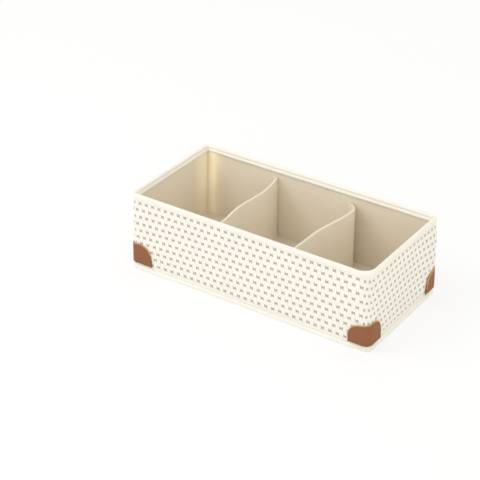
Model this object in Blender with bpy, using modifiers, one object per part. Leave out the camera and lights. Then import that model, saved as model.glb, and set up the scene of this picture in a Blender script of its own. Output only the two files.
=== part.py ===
"""Fabric drawer organizer.

A cloth box stiffened with cards: printed cloth outside, plain lining inside, cloth tape bound over the
rim and round the foot, a card in each wall and in the base, two cloth-sleeved dividers sewn to the long
walls, and a leatherette guard wrapped round each lower corner.
Lengths are in metres. The origin is the middle of the foot, +X runs along the length, +Y to the back.
"""
import math

import bmesh
import bpy
from mathutils import Vector
from mathutils.geometry import interpolate_bezier

# Outer body, measured on the printed cloth
BODY_LENGTH = 0.3035
BODY_DEPTH = 0.1445
HEIGHT = 0.0950
CORNER_RADIUS = 0.0070
ARC_STEPS = 8

# The end walls lean out below the rim, by this much at the floor
END_FLARE = 0.0024

# Cloth and card
COVER_CLOTH = 0.00055
LINING_CLOTH = 0.00045
TAPE_CLOTH = 0.00045
SLEEVE_CLOTH = 0.00045
LEATHERETTE = 0.0009
WALL_CARD = 0.0015
BASE_CARD = 0.0020
DIVIDER_CARD = 0.0015
CONTACT_GAP = 0.0003

# Wall cards stop short of the corners, which stay soft
CARD_CORNER_STOP = 0.0145

# Tape over the rim, with a rolled hem along its inside edge
RIM_ROUND = 0.0010
RIM_EASE = 0.00015
RIM_OUTSIDE_LEG = 0.0058
RIM_INSIDE_LEG = 0.0082
HEM_HEIGHT = 0.0034
HEM_BULGE = 0.0007
HEM_PINCH = 0.00015

# Tape round the foot: two soft lips with a stitch groove between them
FOOT_HEIGHT = 0.0095
FOOT_TUCK = 0.0020
FOOT_SHOULDER = 0.0012
FOOT_RECESS = 0.0003
FOOT_GROOVE_HEIGHT = 0.0054
FOOT_GROOVE_HALF = 0.0011
FOOT_GROOVE_DEPTH = 0.00045
FOOT_ROUND = 0.0012
FOOT_UNDER_LEG = 0.0110
FOOT_PANEL_EASE = 0.0004

# Dividers, seen from above as one line from front wall to back wall
DIVIDER_DROP = 0.0130
DIVIDER_TURN = 0.0026
DIVIDER_HOOK_TURN = 0.0185
DIVIDER_TAB = 0.0050
DIVIDER_CARD_STOP = 0.0015
DIVIDER_CURVE_STEPS = 4
CUT_OVERRUN = 0.0020
WELD_DISTANCE = 0.000005

# Places along each divider, as (share of the run from front to back, share of a compartment sideways)
LEFT_BOW_SHARES = (
    (0.0, 0.052), (0.18, 0.038), (0.3, 0.017), (0.4, 0.007), (0.5, 0.014),
    (0.62, 0.030), (0.75, 0.041), (0.9, 0.018), (1.0, -0.012),
)
RIGHT_BOW_SHARES = (
    (0.0, -0.014), (0.25, -0.002), (0.45, 0.005), (0.57, 0.017), (0.69, 0.045), (0.85, 0.079), (1.0, 0.098),
)

# Leatherette guards, each one patch folded round its corner and lapped over the foot tape's edge
GUARD_WIDTH = 0.0440
GUARD_HEIGHT = 0.0250
GUARD_FOOT = 0.0065
GUARD_LAP = 0.0015
GUARD_STEPS = 32
GUARD_ROUNDNESS = 2.7

# How far each patch sits off its corner's middle, as a share of its width, positive towards the end wall
GUARD_SHIFT_SHARES = {
    "front_left": -0.066,
    "front_right": -0.035,
    "back_left": 0.010,
    "back_right": -0.059,
}
CORNER_SIDES = {
    "front_left": (-1, -1),
    "front_right": (1, -1),
    "back_left": (-1, 1),
    "back_right": (1, 1),
}

# Layers of a wall, as insets from the cover's outer face
CARD_OUTER = COVER_CLOTH + CONTACT_GAP
CARD_INNER = CARD_OUTER + WALL_CARD
LINING_OUTER = CARD_INNER + CONTACT_GAP
LINING_INNER = LINING_OUTER + LINING_CLOTH
TAPE_OUTSIDE = -CONTACT_GAP - TAPE_CLOTH / 2
TAPE_INSIDE = LINING_INNER + CONTACT_GAP + TAPE_CLOTH / 2

# The lining's corner is tight enough to lie against the foot tape behind the cover, with no card there
CORNER_LAYERS = COVER_CLOTH + CONTACT_GAP + TAPE_CLOTH + CONTACT_GAP
LINING_CORNER_RADIUS = (
    (CORNER_RADIUS - LINING_OUTER) * math.sqrt(2) - (CORNER_RADIUS - CORNER_LAYERS)
) / (math.sqrt(2) - 1) - LINING_CLOTH

# Heights of the layers of the base and of the walls
BASE_CLOTH_BOTTOM = TAPE_CLOTH + CONTACT_GAP
BASE_CARD_BOTTOM = BASE_CLOTH_BOTTOM + LINING_CLOTH + CONTACT_GAP
BASE_LINING_BOTTOM = BASE_CARD_BOTTOM + BASE_CARD + CONTACT_GAP
FLOOR = BASE_LINING_BOTTOM + LINING_CLOTH
WALL_TOP = HEIGHT - TAPE_CLOTH - CONTACT_GAP - RIM_EASE
CARD_BOTTOM = FOOT_HEIGHT + FOOT_TUCK + CONTACT_GAP
DIVIDER_TOP = HEIGHT - DIVIDER_DROP

# Insets of the foot tape's middle surface and of the base panels' edge
FOOT_TUCK_INSET = COVER_CLOTH + CONTACT_GAP + TAPE_CLOTH / 2
FOOT_LIP_INSET = FOOT_RECESS + TAPE_CLOTH / 2
PANEL_INSET = FOOT_LIP_INSET + TAPE_CLOTH / 2 + CONTACT_GAP + FOOT_PANEL_EASE

DIVIDER_HALF = DIVIDER_CARD / 2 + CONTACT_GAP + SLEEVE_CLOTH
COMPARTMENT = (BODY_LENGTH - 2 * LINING_INNER) / 3


def colour(red, green, blue):
    """Turn a colour as seen on screen, 0 to 255, into the linear value that a material takes."""
    linear = []
    for channel in (red, green, blue):
        value = channel / 255
        linear.append(value / 12.92 if value <= 0.04045 else ((value + 0.055) / 1.055) ** 2.4)
    return (*linear, 1.0)


def add_material(name, base_colour, roughness):
    material = bpy.data.materials.new(name)
    material.use_nodes = True
    shader = material.node_tree.nodes["Principled BSDF"]
    shader.inputs["Base Color"].default_value = base_colour
    shader.inputs["Roughness"].default_value = roughness
    shader.inputs["Metallic"].default_value = 0.0
    material.diffuse_color = base_colour
    return material


def place(item, collection, parent, material=None):
    """Move an object into its collection, under its parent, and give it its material."""
    for old in list(item.users_collection):
        old.objects.unlink(item)
    collection.objects.link(item)
    item.parent = parent
    if material:
        item.data.materials.clear()
        item.data.materials.append(material)
    return item


def soften_shading(mesh):
    mesh.shade_smooth()
    mesh.set_sharp_from_angle(angle=math.radians(35))


def corner_radius(inset):
    """Plan radius of the corners at an inset: parallel outside, then tightening to the lining's."""
    if inset <= 0:
        return CORNER_RADIUS - inset
    if inset >= LINING_INNER:
        return max(LINING_CORNER_RADIUS - (inset - LINING_INNER), CONTACT_GAP)
    share = inset / LINING_INNER
    return CORNER_RADIUS + (LINING_CORNER_RADIUS - CORNER_RADIUS) * share


def end_flare(height):
    """How far an end wall stands out at a height, beyond its place at the rim."""
    return END_FLARE * (1 - height / HEIGHT)


def rounded_outline(inset, radius, height):
    """Rectangle with round corners at a height, counter-clockwise, inset from the cover's outer face."""
    half_length = BODY_LENGTH / 2 + end_flare(height) - inset
    half_depth = BODY_DEPTH / 2 - inset
    points = []
    for turn, (side_x, side_y) in enumerate(((1, 1), (-1, 1), (-1, -1), (1, -1))):
        centre = Vector((side_x * (half_length - radius), side_y * (half_depth - radius)))
        for step in range(ARC_STEPS + 1):
            angle = math.radians(90 * (turn + step / ARC_STEPS))
            points.append(centre + radius * Vector((math.cos(angle), math.sin(angle))))
    return points


def cloth_ring(name, section, thickness):
    """Cloth that runs right round the box, lofted through outlines given as (inset, height, radius)."""
    shape = bmesh.new()
    rings = []
    for inset, height, radius in section:
        outline = rounded_outline(inset, radius, height)
        rings.append([shape.verts.new((*point, height)) for point in outline])
    for first, second in zip(rings, rings[1:]):
        for number in range(len(first)):
            shape.faces.new((first[number - 1], first[number], second[number], second[number - 1]))
    bmesh.ops.recalc_face_normals(shape, faces=shape.faces)
    mesh = bpy.data.meshes.new(name)
    shape.to_mesh(mesh)
    shape.free()
    soften_shading(mesh)
    ring = bpy.data.objects.new(name, mesh)
    solidify = ring.modifiers.new("Cloth", "SOLIDIFY")
    solidify.thickness = thickness
    solidify.offset = 0.0
    solidify.use_even_offset = True
    return ring


def parallel_section(points):
    """Give each (inset, height) of a section the corner radius that belongs to its inset."""
    return [(inset, height, corner_radius(inset)) for inset, height in points]


def quarter_arc(centre, radius, start_degrees, end_degrees, steps):
    """Points along part of a circle in the plane of a section or of a plan."""
    points = []
    for step in range(steps + 1):
        angle = math.radians(start_degrees + (end_degrees - start_degrees) * step / steps)
        points.append((centre[0] + radius * math.cos(angle), centre[1] + radius * math.sin(angle)))
    return points


def flat_curve(name, outline, thickness):
    """A flat outline with thickness, standing on its own lower face."""
    curve = bpy.data.curves.new(name, "CURVE")
    curve.dimensions = "2D"
    curve.fill_mode = "BOTH"
    curve.extrude = thickness / 2
    spline = curve.splines.new("POLY")
    spline.points.add(len(outline) - 1)
    for target, point in zip(spline.points, outline):
        target.co = (point[0], point[1], 0, 1)
    spline.use_cyclic_u = True
    return bpy.data.objects.new(name, curve)


def curve_to_mesh(item, collection):
    """Replace a curve object by the same shape as a closed mesh, so that it can be cut or can cut."""
    collection.objects.link(item)
    bpy.context.view_layer.update()
    evaluated = item.evaluated_get(bpy.context.evaluated_depsgraph_get())
    mesh = bpy.data.meshes.new_from_object(evaluated)
    shape = bmesh.new()
    shape.from_mesh(mesh)
    bmesh.ops.remove_doubles(shape, verts=shape.verts, dist=WELD_DISTANCE)
    bmesh.ops.recalc_face_normals(shape, faces=shape.faces)
    shape.to_mesh(mesh)
    shape.free()
    name = item.name
    place_matrix = item.matrix_world.copy()
    bpy.data.objects.remove(item)
    solid = bpy.data.objects.new(name, mesh)
    solid.matrix_world = place_matrix
    return solid


def make_panel(name, bottom, thickness):
    """One flat layer of the base, cut to the base's rounded outline."""
    outline = rounded_outline(PANEL_INSET, CORNER_RADIUS - PANEL_INSET, bottom)
    panel = flat_curve(name, outline, thickness)
    panel.location.z = bottom + thickness / 2
    return panel


def make_wall_card(name, along, centre):
    """One wall's card between the cover and the lining, leaning or widening with the end walls."""
    height = WALL_TOP - CARD_BOTTOM
    bpy.ops.mesh.primitive_cube_add(size=1, location=(centre[0], centre[1], CARD_BOTTOM + height / 2))
    card = bpy.context.object
    card.name = name
    card.data.name = name
    if along == "x":
        card.scale = (BODY_LENGTH - 2 * CARD_CORNER_STOP, WALL_CARD, height)
    else:
        card.scale = (WALL_CARD, BODY_DEPTH - 2 * CARD_CORNER_STOP, height)
    bpy.ops.object.transform_apply(location=False, rotation=False, scale=True)
    for vert in card.data.vertices:
        spot = card.location + vert.co
        vert.co.x += math.copysign(end_flare(spot.z), spot.x)
    return card


def make_wall_cards():
    card_inset = CARD_OUTER + WALL_CARD / 2
    across = BODY_LENGTH / 2 - card_inset
    deep = BODY_DEPTH / 2 - card_inset
    return [
        make_wall_card("front_board", "x", (0, -deep)),
        make_wall_card("back_board", "x", (0, deep)),
        make_wall_card("left_board", "y", (-across, 0)),
        make_wall_card("right_board", "y", (across, 0)),
    ]


def make_printed_cover():
    middle = COVER_CLOTH / 2
    radius = CORNER_RADIUS - middle
    section = [(middle, FOOT_HEIGHT, radius), (middle, WALL_TOP, radius)]
    return cloth_ring("printed_cover", section, COVER_CLOTH)


def make_wall_lining():
    middle = LINING_OUTER + LINING_CLOTH / 2
    radius = LINING_CORNER_RADIUS + LINING_CLOTH / 2
    section = [(middle, FLOOR + CONTACT_GAP, radius), (middle, WALL_TOP, radius)]
    return cloth_ring("wall_lining", section, LINING_CLOTH)


def make_top_binding():
    """Tape folded over the rim, pinched by its stitches inside and rolled into a hem below them."""
    crown = HEIGHT - TAPE_CLOTH / 2 - RIM_ROUND
    hem_top = HEIGHT - RIM_INSIDE_LEG + HEM_HEIGHT
    hem_middle = HEIGHT - RIM_INSIDE_LEG + HEM_HEIGHT / 2
    section = [(TAPE_OUTSIDE, HEIGHT - RIM_OUTSIDE_LEG)]
    section += quarter_arc((TAPE_OUTSIDE + RIM_ROUND, crown), RIM_ROUND, 180, 90, 3)
    section += quarter_arc((TAPE_INSIDE - RIM_ROUND, crown), RIM_ROUND, 90, 0, 3)
    section += [
        (TAPE_INSIDE + HEM_PINCH, hem_top + HEM_HEIGHT / 4),
        (TAPE_INSIDE, hem_top),
        (TAPE_INSIDE + HEM_BULGE, hem_middle + HEM_HEIGHT / 4),
        (TAPE_INSIDE + HEM_BULGE, hem_middle - HEM_HEIGHT / 4),
        (TAPE_INSIDE, HEIGHT - RIM_INSIDE_LEG),
    ]
    return cloth_ring("top_binding", parallel_section(section), TAPE_CLOTH)


def make_bottom_binding():
    """Tape round the foot, tucked behind the cover's lower edge and folded under the base."""
    bottom = TAPE_CLOTH / 2
    round_centre = (FOOT_LIP_INSET + FOOT_ROUND, bottom + FOOT_ROUND)
    shoulder = FOOT_HEIGHT - FOOT_SHOULDER
    section = [
        (FOOT_TUCK_INSET, FOOT_HEIGHT + FOOT_TUCK),
        (FOOT_TUCK_INSET, FOOT_HEIGHT),
        (FOOT_LIP_INSET, shoulder),
        (FOOT_LIP_INSET, FOOT_GROOVE_HEIGHT + FOOT_GROOVE_HALF),
        (FOOT_LIP_INSET + FOOT_GROOVE_DEPTH, FOOT_GROOVE_HEIGHT),
        (FOOT_LIP_INSET, FOOT_GROOVE_HEIGHT - FOOT_GROOVE_HALF),
    ]
    section += quarter_arc(round_centre, FOOT_ROUND, 180, 270, 3)
    section.append((FOOT_UNDER_LEG, bottom))
    rings = [(inset, height, CORNER_RADIUS - min(inset, CORNER_RADIUS / 2)) for inset, height in section]
    return cloth_ring("bottom_binding", rings, TAPE_CLOTH)


def smooth_through(points, steps):
    """Points along a smooth curve through the given ones, running straight in Y at both ends."""
    spots = [Vector((x, y, 0)) for x, y in points]
    slopes = []
    for number, spot in enumerate(spots):
        before = spots[max(number - 1, 0)]
        after = spots[min(number + 1, len(spots) - 1)]
        slope = (after - before) / 2
        if number in (0, len(spots) - 1):
            slope = Vector((0, slope.y, 0))
        slopes.append(slope)
    curve = [spots[0]]
    for number in range(len(spots) - 1):
        start = spots[number]
        end = spots[number + 1]
        first_handle = start + slopes[number] / 3
        second_handle = end - slopes[number + 1] / 3
        curve += interpolate_bezier(start, first_handle, second_handle, end, steps + 1)[1:]
    return [Vector((spot.x, spot.y)) for spot in curve]


def divider_lines(station, bow_shares, turn_side, back_turn):
    """Plan line of a divider's run, and of the sewn ends that turn sideways along the walls."""
    tab_line = BODY_DEPTH / 2 - LINING_INNER - CONTACT_GAP - SLEEVE_CLOTH
    front = -tab_line + DIVIDER_TURN
    back = tab_line - back_turn
    places = [(station + share * COMPARTMENT, front + run * (back - front)) for run, share in bow_shares]
    run = smooth_through(places, DIVIDER_CURVE_STEPS)
    ends = []
    for corner, turn, side_y in ((run[0], DIVIDER_TURN, -1), (run[-1], back_turn, 1)):
        centre = (corner.x + turn_side * turn, corner.y)
        start_angle = 180 if turn_side > 0 else 0
        arc = quarter_arc(centre, turn, start_angle, start_angle - turn_side * side_y * 90, ARC_STEPS)
        tab_end = (arc[-1][0] + turn_side * DIVIDER_TAB, arc[-1][1])
        ends.append([Vector(point) for point in arc[1:] + [tab_end]])
    return run, ends


def widen(line, half_widths):
    """Closed outline round a plan line, each point's half width on either side."""
    left = []
    right = []
    for number, (point, half) in enumerate(zip(line, half_widths)):
        before = line[max(number - 1, 0)]
        after = line[min(number + 1, len(line) - 1)]
        along = (after - before).normalized()
        across = Vector((-along.y, along.x))
        left.append(point + across * half)
        right.append(point - across * half)
    return left + right[::-1]


def trimmed(line, stop):
    """The plan line of the card, whose first and last points are drawn back along the line."""
    line = [point.copy() for point in line]
    line[0] += (line[1] - line[0]).normalized() * stop
    line[-1] += (line[-2] - line[-1]).normalized() * stop
    return line


def make_divider(name, station, bow_shares, turn_side, back_turn, parts, cutters):
    """A thin card in a cloth sleeve that is folded over its top and sewn to the walls at its ends."""
    run, (front_end, back_end) = divider_lines(station, bow_shares, turn_side, back_turn)
    bottom = FLOOR + CONTACT_GAP
    sleeve_height = DIVIDER_TOP - bottom
    card_height = sleeve_height - SLEEVE_CLOTH - CONTACT_GAP
    card_line = trimmed(run, DIVIDER_CARD_STOP)

    card = flat_curve(f"{name}_board", widen(card_line, [DIVIDER_CARD / 2] * len(card_line)), card_height)
    card.location.z = bottom + card_height / 2

    narrowing_shares = [1 - step / ARC_STEPS for step in range(1, ARC_STEPS + 1)]
    end_widths = [SLEEVE_CLOTH + (DIVIDER_HALF - SLEEVE_CLOTH) * share for share in narrowing_shares]
    end_widths.append(SLEEVE_CLOTH)
    widths = end_widths[::-1] + [DIVIDER_HALF] * len(run) + end_widths
    sleeve_outline = widen(front_end[::-1] + run + back_end, widths)
    sleeve_curve = flat_curve(f"{name}_sleeve", sleeve_outline, sleeve_height)
    sleeve_curve.location.z = bottom + sleeve_height / 2
    sleeve = curve_to_mesh(sleeve_curve, parts)

    pocket_line = trimmed(run, DIVIDER_CARD_STOP - CONTACT_GAP)
    pocket_width = DIVIDER_CARD / 2 + CONTACT_GAP
    pocket_height = card_height + CONTACT_GAP + CUT_OVERRUN
    pocket_outline = widen(pocket_line, [pocket_width] * len(pocket_line))
    pocket_curve = flat_curve(f"{name}_pocket", pocket_outline, pocket_height)
    pocket_curve.location.z = bottom - CUT_OVERRUN + pocket_height / 2
    pocket = curve_to_mesh(pocket_curve, parts)
    cutters.objects.link(pocket)
    pocket.hide_render = True
    pocket.display_type = "WIRE"

    cut = sleeve.modifiers.new("Card pocket", "BOOLEAN")
    cut.operation = "DIFFERENCE"
    cut.solver = "EXACT"
    cut.object = pocket
    return card, sleeve


def corner_point(side_x, side_y, distance, inset):
    """Plan point on a corner's outline, a signed distance round it from the corner's middle."""
    radius = corner_radius(inset)
    centre = Vector((BODY_LENGTH / 2 - inset - radius, BODY_DEPTH / 2 - inset - radius))
    half_arc = radius * math.pi / 4
    beyond = abs(distance) - half_arc
    if beyond <= 0:
        angle = math.pi / 4 - distance / radius
        point = centre + radius * Vector((math.cos(angle), math.sin(angle)))
    elif distance > 0:
        point = centre + Vector((radius, -beyond))
    else:
        point = centre + Vector((-beyond, radius))
    return (side_x * point.x, side_y * point.y)


def make_guard(place_name):
    """A patch folded round a lower corner: straight foot, and wings that round off to the sides."""
    side_x, side_y = CORNER_SIDES[place_name]
    inset = -CONTACT_GAP - LEATHERETTE / 2
    shift = GUARD_SHIFT_SHARES[place_name] * GUARD_WIDTH
    shape = bmesh.new()
    feet = []
    tops = {}
    for step in range(GUARD_STEPS + 1):
        reach_share = math.sin(math.pi * (step / GUARD_STEPS - 1 / 2))
        height_share = max(1 - abs(reach_share) ** GUARD_ROUNDNESS, 0) ** (1 / GUARD_ROUNDNESS)
        foot_point = corner_point(side_x, side_y, shift + reach_share * GUARD_WIDTH / 2, inset)
        foot = shape.verts.new((*foot_point, FOOT_HEIGHT - GUARD_LAP))
        tops[step] = GUARD_FOOT + (GUARD_HEIGHT - GUARD_FOOT) * height_share
        feet.append(foot)
    edges = [shape.edges.new(pair) for pair in zip(feet, feet[1:])]
    raised = bmesh.ops.extrude_edge_only(shape, edges=edges)["geom"]
    for vert in raised:
        if isinstance(vert, bmesh.types.BMVert):
            nearest = min(range(len(feet)), key=lambda step: (feet[step].co - vert.co).length)
            vert.co.z += tops[nearest]
    for vert in shape.verts:
        vert.co.x += side_x * end_flare(vert.co.z)
    bmesh.ops.recalc_face_normals(shape, faces=shape.faces)
    name = f"corner_guard_{place_name}"
    mesh = bpy.data.meshes.new(name)
    shape.to_mesh(mesh)
    shape.free()
    soften_shading(mesh)
    guard = bpy.data.objects.new(name, mesh)
    solidify = guard.modifiers.new("Leatherette", "SOLIDIFY")
    solidify.thickness = LEATHERETTE
    solidify.offset = 0.0
    solidify.use_even_offset = True
    return guard


def clear_scene():
    for item in list(bpy.data.objects):
        bpy.data.objects.remove(item, do_unlink=True)


def build():
    clear_scene()
    parts = bpy.data.collections.new("drawer_organizer")
    cutters = bpy.data.collections.new("drawer_organizer_cutters")
    bpy.context.scene.collection.children.link(parts)
    bpy.context.scene.collection.children.link(cutters)
    root = bpy.data.objects.new("drawer_organizer_root", None)
    parts.objects.link(root)

    cream = colour(243, 236, 227)
    tape_cream = colour(250, 246, 236)
    beige = colour(226, 212, 186)
    brown = colour(153, 107, 78)
    grey_card = colour(176, 166, 150)

    place(make_printed_cover(), parts, root, add_material("printed_cover", cream, 0.85))
    place(make_wall_lining(), parts, root, add_material("wall_lining", beige, 0.9))
    place(make_top_binding(), parts, root, add_material("top_binding", tape_cream, 0.8))
    place(make_bottom_binding(), parts, root, add_material("bottom_binding", tape_cream, 0.8))
    for card in make_wall_cards():
        place(card, parts, root, add_material(card.name, grey_card, 0.95))

    base_layers = (
        ("base_cloth", BASE_CLOTH_BOTTOM, LINING_CLOTH, cream),
        ("base_board", BASE_CARD_BOTTOM, BASE_CARD, grey_card),
        ("base_lining", BASE_LINING_BOTTOM, LINING_CLOTH, beige),
    )
    for name, bottom, thickness, base_colour in base_layers:
        place(make_panel(name, bottom, thickness), parts, root, add_material(name, base_colour, 0.9))

    stations = (
        ("divider_left", -COMPARTMENT / 2, LEFT_BOW_SHARES, -1, DIVIDER_TURN),
        ("divider_right", COMPARTMENT / 2, RIGHT_BOW_SHARES, -1, DIVIDER_HOOK_TURN),
    )
    for name, station, bow_shares, turn_side, back_turn in stations:
        card, sleeve = make_divider(name, station, bow_shares, turn_side, back_turn, parts, cutters)
        place(card, parts, root, add_material(card.name, grey_card, 0.95))
        place(sleeve, parts, root, add_material(sleeve.name, beige, 0.9))

    for place_name in CORNER_SIDES:
        guard = make_guard(place_name)
        place(guard, parts, root, add_material(guard.name, brown, 0.5))


build()
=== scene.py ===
"""Fabric drawer organizer, dressed in sewn cloth.

A cream cloth box with a small printed mark, bound with tape over the rim and round the foot, lined in
beige, with two sewn-in dividers and a leatherette guard on each lower corner. Sewn cloth stands for every
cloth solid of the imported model, and the cards inside keep theirs. Lengths are in metres. The origin is
the middle of the foot, +X runs along the length, +Y to the back.
"""

import math

import bmesh
import bpy
from bpy.props import FloatProperty, FloatVectorProperty, IntProperty, PointerProperty
from mathutils import Matrix, Vector, noise
from mathutils.geometry import interpolate_bezier


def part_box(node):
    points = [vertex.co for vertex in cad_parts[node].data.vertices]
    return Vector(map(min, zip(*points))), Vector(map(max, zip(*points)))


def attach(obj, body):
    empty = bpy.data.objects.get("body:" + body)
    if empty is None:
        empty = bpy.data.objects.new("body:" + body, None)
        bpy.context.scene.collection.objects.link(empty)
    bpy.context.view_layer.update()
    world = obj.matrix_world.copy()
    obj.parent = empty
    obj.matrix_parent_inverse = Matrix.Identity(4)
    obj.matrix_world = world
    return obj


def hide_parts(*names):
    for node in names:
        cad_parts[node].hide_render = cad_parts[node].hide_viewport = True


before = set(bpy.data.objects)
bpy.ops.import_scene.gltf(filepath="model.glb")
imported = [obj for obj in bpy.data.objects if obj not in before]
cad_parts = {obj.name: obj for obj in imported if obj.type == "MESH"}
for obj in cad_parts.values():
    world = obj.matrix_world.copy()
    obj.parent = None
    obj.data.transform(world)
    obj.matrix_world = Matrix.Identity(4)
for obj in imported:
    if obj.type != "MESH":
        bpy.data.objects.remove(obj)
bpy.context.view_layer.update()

bl_info = {
    "name": "Drawer organizer",
    "version": (1, 0, 0),
    "blender": (4, 5, 0),
    "location": "3D View > Sidebar > Organizer",
    "description": "Sews the cloth, tape, dividers and corner guards of a fabric drawer organizer",
    "category": "Add Mesh",
}

BODY = "root"
MM = 0.001

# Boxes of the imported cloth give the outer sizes
COVER_LOW, COVER_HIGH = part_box("printed_cover")
LINING_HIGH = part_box("wall_lining")[1]
FLOOR_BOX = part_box("base_lining")
UNDER_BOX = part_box("base_cloth")

DEPTH = COVER_HIGH.y - COVER_LOW.y
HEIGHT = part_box("top_binding")[1].z
FOOT_TOP = COVER_LOW.z
WALL_TOP = COVER_HIGH.z
FLOOR = FLOOR_BOX[1].z
DIVIDER_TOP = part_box("divider_left_sleeve")[1].z

# The end walls lean out below the rim, by this much at the floor. Their cover is drawn in closer
END_FLARE = 2.4 * MM
COVER_FLARE = 1.65 * MM
LENGTH = COVER_HIGH.x - COVER_LOW.x - 2 * END_FLARE * (1 - FOOT_TOP / HEIGHT)

# On the right the foot tape splays out towards the floor, and its seam sits higher
RIGHT_SPLAY = 1.9 * MM
SPLAY_TOP = 12 * MM
SPLAY_CURVE = 1.5
RIGHT_SEAM_LIFT = 1.9 * MM

# On the front it splays out less, not at all at the right corner, and more towards the left end
FRONT_SPLAY = 1.4 * MM
RIGHT_END_FADE = (2 * MM, 30 * MM)
LEFT_END_SPLAY = 2.6 * MM
LEFT_END_REACH = (60 * MM, 120 * MM)

# The slack cover swells out between the rim and the guard at the back right corner: where it starts and is
# full, by share of the right wall and of its corner, and the heights over which it rises and fades
CORNER_BULGE = 1.9 * MM
BULGE_ON_WALL = (0.76, 0.98)
BULGE_ON_CORNER = (1.0, 0.4)
BULGE_HEIGHTS = ((22 * MM, 45 * MM), (90 * MM, 70 * MM))

CORNER = 7 * MM
GAP = 0.3 * MM
TAPE = 0.45 * MM
COVER_CLOTH = 0.55 * MM
LINING_CLOTH = 0.45 * MM
SLEEVE_CLOTH = 0.45 * MM
DIVIDER_CARD = 1.5 * MM
LEATHERETTE = 0.9 * MM
LINING_INSET = (COVER_HIGH.y - LINING_HIGH.y) + LINING_CLOTH
LINING_CORNER = 1.37 * MM
COMPARTMENT = (LENGTH - 2 * LINING_INSET) / 3

# Share of its material's full thickness that each of these pieces is given
RIM_TAPE_SKIN = 0.9
FOOT_TAPE_SKIN = 0.85
GUARD_SKIN = 0.62

# The lining and the rim cut across the front right corner, more so the higher up
SLUMPED_CORNER = 14 * MM
SLUMP_HEIGHTS = (45 * MM, 88 * MM)

# The wall cards stop about this far from the corners' middles. Where no card backs it the lining gets painted
# light, a paler colour and a glow that stand for light through the cloth, in a strip before each corner: its
# rise and fade by distance from the corner's middle, its share past a corner and before the two front
# corners, and the heights over which it grows from half to full
CARD_STOP = 13.5 * MM
STRIP = ((5 * MM, 11 * MM), (19 * MM, 14 * MM))
STRIP_PAST_CORNER = 0.1
STRIP_FRONT_CORNERS = 0.3
STRIP_HEIGHTS = (15 * MM, 60 * MM)

# The lining also gets painted light round the back left corner, paler and glowing, but not in its very middle
BACK_LEFT_GLOW = 0.33
BACK_LEFT_REACH = ((2 * MM, 6 * MM), (32 * MM, 16 * MM))

# Walls in walking order: front, right, back, left. A corner follows each
FRONT, RIGHT, BACK, LEFT = range(4)
OUTWARD = (Vector((0, -1)), Vector((1, 0)), Vector((0, 1)), Vector((-1, 0)))
ALONG = (Vector((1, 0)), Vector((0, 1)), Vector((-1, 0)), Vector((0, -1)))

# Divider lines seen from above: (share of the run from front to back, share of a compartment sideways)
LEFT_BOW = (
    (0.0, 0.052), (0.18, 0.038), (0.3, 0.017), (0.4, 0.007), (0.5, 0.014),
    (0.62, 0.030), (0.75, 0.041), (0.9, 0.018), (1.0, -0.012),
)
RIGHT_BOW = (
    (0.0, -0.014), (0.25, -0.002), (0.45, 0.005), (0.57, 0.017), (0.69, 0.045), (0.85, 0.079), (1.0, 0.098),
)

# Both dividers turn left at their ends, where their tabs are sewn on. The right one's back end is a wide hook
# that runs inside its round and stops short of a full quarter turn
TURN_SIDE = -1
TURN = 2.6 * MM
TAB = 5 * MM
HOOK_TURN = 18.5 * MM
HOOK_FLATTENED = 1.2 * MM
HOOK_END = 85

# Dividers: place along the box, line, radius of the back turn, how far the top sags there, and seed of the
# unevenness
DIVIDERS = {
    "left": (-COMPARTMENT / 2, LEFT_BOW, TURN, 0.8 * MM, 2.2),
    "right": (COMPARTMENT / 2, RIGHT_BOW, HOOK_TURN, 3.0 * MM, 7.3),
}

# Guards: side signs of each corner, then as shares how far the patch sits off the corner's middle, how much
# taller it is on the end wall, how far its upper edge is folded down there, how much wider its paler rim is,
# and how far its foot spreads
GUARD_WIDTH = 44.0 * MM
GUARD_HEIGHT = 25.0 * MM
GUARD_FOOT = 6.5 * MM
GUARD_LAP = 1.5 * MM
GUARD_ROUNDNESS = 2.7
GUARD_FOLD = (-0.4, 0.3)
GUARD_PLACES = {
    "front_left": (-1, -1, -0.078, 0.0, 0.14, 0.1, 0.08),
    "front_right": (1, -1, 0.0, 0.16, 0.0, 0.1, 0.0),
    "back_left": (-1, 1, 0.010, 0.0, 0.0, 0.1, 0.05),
    "back_right": (1, 1, -0.040, -0.06, 0.0, 2.4, 0.12),
}

# Print steps carried by each wall and by a corner, and where the first mark falls
STEPS_AROUND = 106
FRONT_WALL_STEPS = 32.44
END_WALL_STEPS = 16.06
CORNER_STEPS = 2.20
BACK_WALL_STEPS = STEPS_AROUND - FRONT_WALL_STEPS - 2 * END_WALL_STEPS - 4 * CORNER_STEPS
WALL_STEPS = (FRONT_WALL_STEPS, END_WALL_STEPS, BACK_WALL_STEPS, END_WALL_STEPS)
FIRST_STEP = 0.29
FIRST_ROW = 86.4 * MM

# The print slants in the middle of the front and right walls, and hangs lower on the right one
PRINT_SLANT = (-0.039, 0.130, 0.0, 0.0)
SLANT_CENTRE = (27 * MM, 59 * MM, 0.0, 0.0)
SLANT_CURVE = 0.7
PRINT_HANG = (0.0, 1.0 * MM, 0.0, 0.0)

# Low on the front wall the print is drawn in, by this share
PRINT_DRAWN_IN = 0.018
DRAWN_IN_HEIGHTS = (50 * MM, 12 * MM)

# How far the print hangs down at the corner after each wall, how far along the walls that reaches, what
# share of it the first row has, and how far below that row it is complete
CORNER_DROOP = (2.0 * MM, 3.0 * MM, 3.0 * MM, 3.6 * MM)
DROOP_REACH = (90 * MM, 87 * MM, 87 * MM, 89 * MM)
DROOP_FIRST_ROW = 0.4
DROOP_COMPLETE = 35 * MM

# Share of a stitch's pitch that its thread shows for: inside and outside the rim, on the foot tape, and on
# the dividers' tabs and the guards
INSIDE_STITCH = 0.72
OUTSIDE_STITCH = 0.78
FOOT_STITCH = 0.74
SEAM_STITCH = 0.76

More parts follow.
